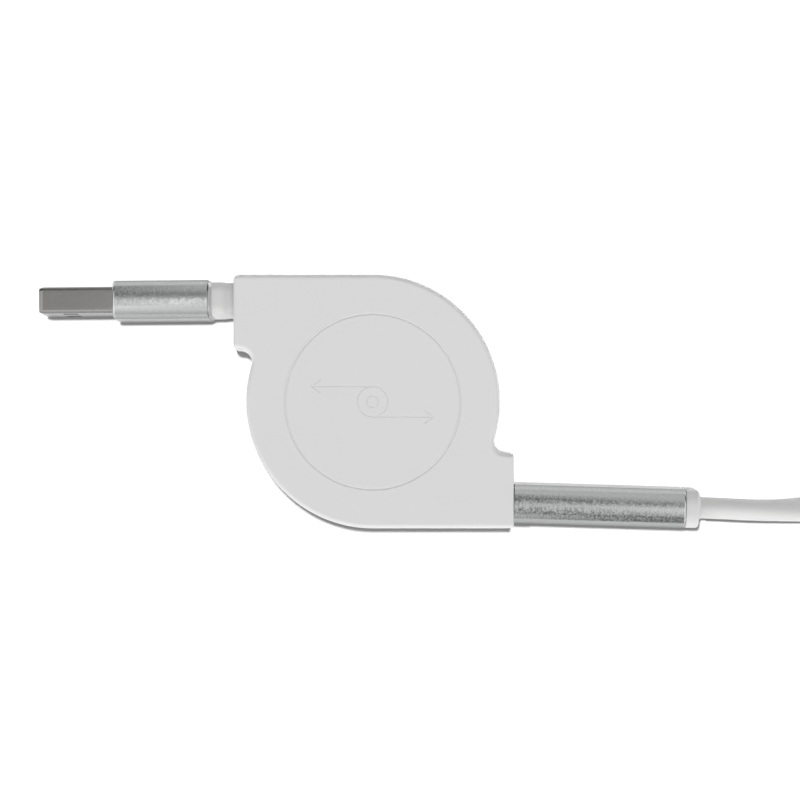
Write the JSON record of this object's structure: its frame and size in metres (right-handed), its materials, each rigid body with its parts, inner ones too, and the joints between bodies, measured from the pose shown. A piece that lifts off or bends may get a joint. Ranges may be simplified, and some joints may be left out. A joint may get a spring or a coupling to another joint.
{
  "type": "retractable usb cable",
  "caption": "Flat reel housing with a spring-wound flat cable, a USB-A plug on one side and a junction sleeve with a short tail lead and USB-C plug on the other.",
  "frame": {"origin": "On the flat back face, on the axis of the reel's axle.", "axes": "+Z out of the front face along the axle, +X towards the junction and the tail lead, +Y towards the side of the USB-A plug, which leaves towards -X."},
  "size_m": [0.247, 0.044, 0.016],
  "materials": {
    "housing_plastic": "satin injection-moulded plastic",
    "spool_plastic": "moulded plastic",
    "ball_steel": "polished ball",
    "spring_steel": "blued strip",
    "flat_cable_jacket": "soft flat jacket",
    "white_mould": "satin moulded plastic",
    "blasted_aluminium": "bead-blasted, anodised",
    "shell_steel": "nickel-plated sheet",
    "contact_gold": "gold-plated",
    "board_green": "lacquered board",
    "tail_jacket": "soft oval jacket",
    "insulator_black": "moulded plastic"
  },
  "bodies": {
    "housing": {"front_cover": "housing_plastic", "back_cover": "housing_plastic", "latch_ball": "ball_steel"},
    "spool": {"spool": "spool_plastic", "spring_lid": "spool_plastic", "mainspring": "spring_steel", "wound_cable": "flat_cable_jacket"},
    "usb_a_plug": {"usb_a_lead": "flat_cable_jacket", "usb_a_strain_relief": "white_mould", "usb_a_sleeve": "blasted_aluminium", "usb_a_core": "white_mould", "usb_a_shell": "shell_steel", "usb_a_tongue": "white_mould", "usb_a_contacts": "contact_gold"},
    "junction": {"junction_lead": "flat_cable_jacket", "junction_nose": "white_mould", "junction_sleeve": "blasted_aluminium", "junction_core": "white_mould", "splice_board": "board_green", "junction_cap": "white_mould", "tail_cable": "tail_jacket", "device_boot": "white_mould", "device_sleeve": "blasted_aluminium", "device_core": "white_mould", "device_shell": "shell_steel", "device_insulator": "insulator_black", "device_contacts": "contact_gold"}
  },
  "joints": [
    {"name": "spool_turn", "type": "hinge", "parent": "housing", "child": "spool", "pos_m": [0, 0, 0.008], "axis": [0, 0, 1], "range_deg": [0, 1260], "stiffness_Nm_per_rad": 0.0009, "springref_deg": -1260.51, "deforming": ["mainspring"]},
    {"name": "usb_a_pull", "type": "slide", "parent": "housing", "child": "usb_a_plug", "axis": [-1, 0, 0], "range_m": [0, 0.297], "deforming": ["usb_a_lead"]},
    {"name": "junction_pull", "type": "slide", "parent": "housing", "child": "junction", "axis": [1, 0, 0], "range_m": [0, 0.297], "deforming": ["junction_lead"]}
  ],
  "couplings": [
    {"joint": "usb_a_pull", "follows": "spool_turn", "m_per_rad": 0.0135},
    {"joint": "junction_pull", "follows": "spool_turn", "m_per_rad": 0.0135}
  ]
}
